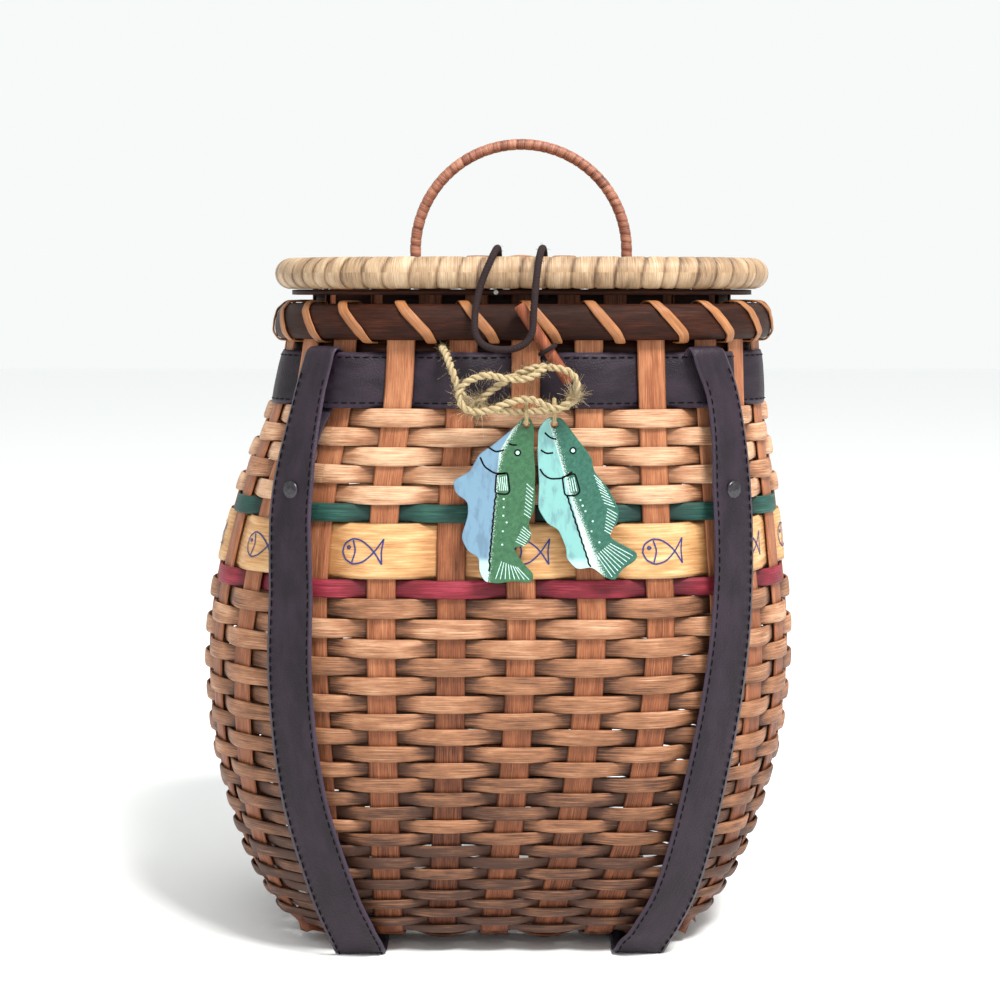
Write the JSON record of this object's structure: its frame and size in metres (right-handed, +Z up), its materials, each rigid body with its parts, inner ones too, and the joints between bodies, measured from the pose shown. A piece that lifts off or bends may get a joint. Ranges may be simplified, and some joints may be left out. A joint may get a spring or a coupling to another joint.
{
  "type": "wicker fishing creel",
  "caption": "Woven splint pack-basket creel with a round belly, hinged woven lid with bail handle, two leather straps, toggle and loop latch and hanging fish tags.",
  "frame": {"origin": "on the floor, under the middle of the base", "axes": "+Z up, -Y is the front with the straps and the latch, +X to the right seen from the front; the lid hinges at the back"},
  "size_m": [0.2327, 0.1856, 0.308],
  "materials": {
    "stake_reed": "raw flat reed, tan to reddish brown, fine lengthwise grain",
    "reed": "raw flat reed, warm tan, fine lengthwise grain",
    "red_reed": "dyed cranberry flat reed",
    "green_reed": "dyed dark green flat reed",
    "printed_veneer": "pale veneer with small printed line fish",
    "leather": "dark purplish brown, semi-gloss, stitched, lighter worn edges",
    "rim_wood": "half-round splint, dark reddish brown",
    "lashing_reed": "flat lashing reed, tan",
    "straw_binding": "hoop closely wrapped in pale reed",
    "handle_reed": "core wrapped in fine reddish reed",
    "peg_wood": "small stained dowel",
    "rivet_steel": "dark gunmetal rivet",
    "dark_cord": "fuzzy dark brown cord",
    "jute": "pale jute twine, hairy",
    "painted_fish_left": "painted wood: green back, blue belly, white dots",
    "painted_fish_right": "painted wood: green back, aqua belly, white dots"
  },
  "bodies": {
    "basket": {"splints_lengthwise": "stake_reed", "splints_crosswise": "stake_reed", "weavers_foot": "reed", "weavers_belly": "reed", "weavers_upper": "reed", "weaver_red": "red_reed", "weaver_printed": "printed_veneer", "weaver_green": "green_reed", "leather_band": "leather", "rim_outer": "rim_wood", "rim_inner": "rim_wood", "rim_lashing": "lashing_reed", "hinge_loop_left": "lashing_reed", "hinge_loop_right": "lashing_reed", "left_strap": "leather", "right_strap": "leather", "left_strap_rivet": "rivet_steel", "right_strap_rivet": "rivet_steel", "left_base_rivets": "rivet_steel", "right_base_rivets": "rivet_steel", "twine_bow": "jute", "toggle_cord": "dark_cord"},
    "lid": {"lid_hoop": "straw_binding", "lid_inner_hoop": "rim_wood", "lid_stakes": "stake_reed", "lid_weavers": "reed", "handle": "handle_reed", "handle_pegs": "peg_wood", "latch_cord": "dark_cord", "cord_tack": "rivet_steel"},
    "toggle": {"toggle_peg": "peg_wood", "toggle_wrap": "dark_cord"},
    "left_fish": {"left_tag": "painted_fish_left", "left_tag_ring": "jute"},
    "right_fish": {"right_tag": "painted_fish_right", "right_tag_ring": "jute"}
  },
  "joints": [
    {"name": "lid_hinge", "type": "hinge", "parent": "basket", "child": "lid", "pos_m": [0.0084, 0.0755, 0.25508], "axis": [-1, 0, 0], "range_deg": [0, 110]},
    {"name": "toggle_turn", "type": "hinge", "parent": "basket", "child": "toggle", "pos_m": [0.0172, -0.086, 0.2273], "axis": [0, 1, 0], "range_deg": [-25, 25]},
    {"name": "left_tag_swing", "type": "hinge", "parent": "basket", "child": "left_fish", "pos_m": [0.0094, -0.091, 0.2052], "axis": [-1, 0, 0], "range_deg": [0, 60]},
    {"name": "right_tag_swing", "type": "hinge", "parent": "basket", "child": "right_fish", "pos_m": [0.0194, -0.091, 0.2052], "axis": [-1, 0, 0], "range_deg": [0, 60]}
  ]
}
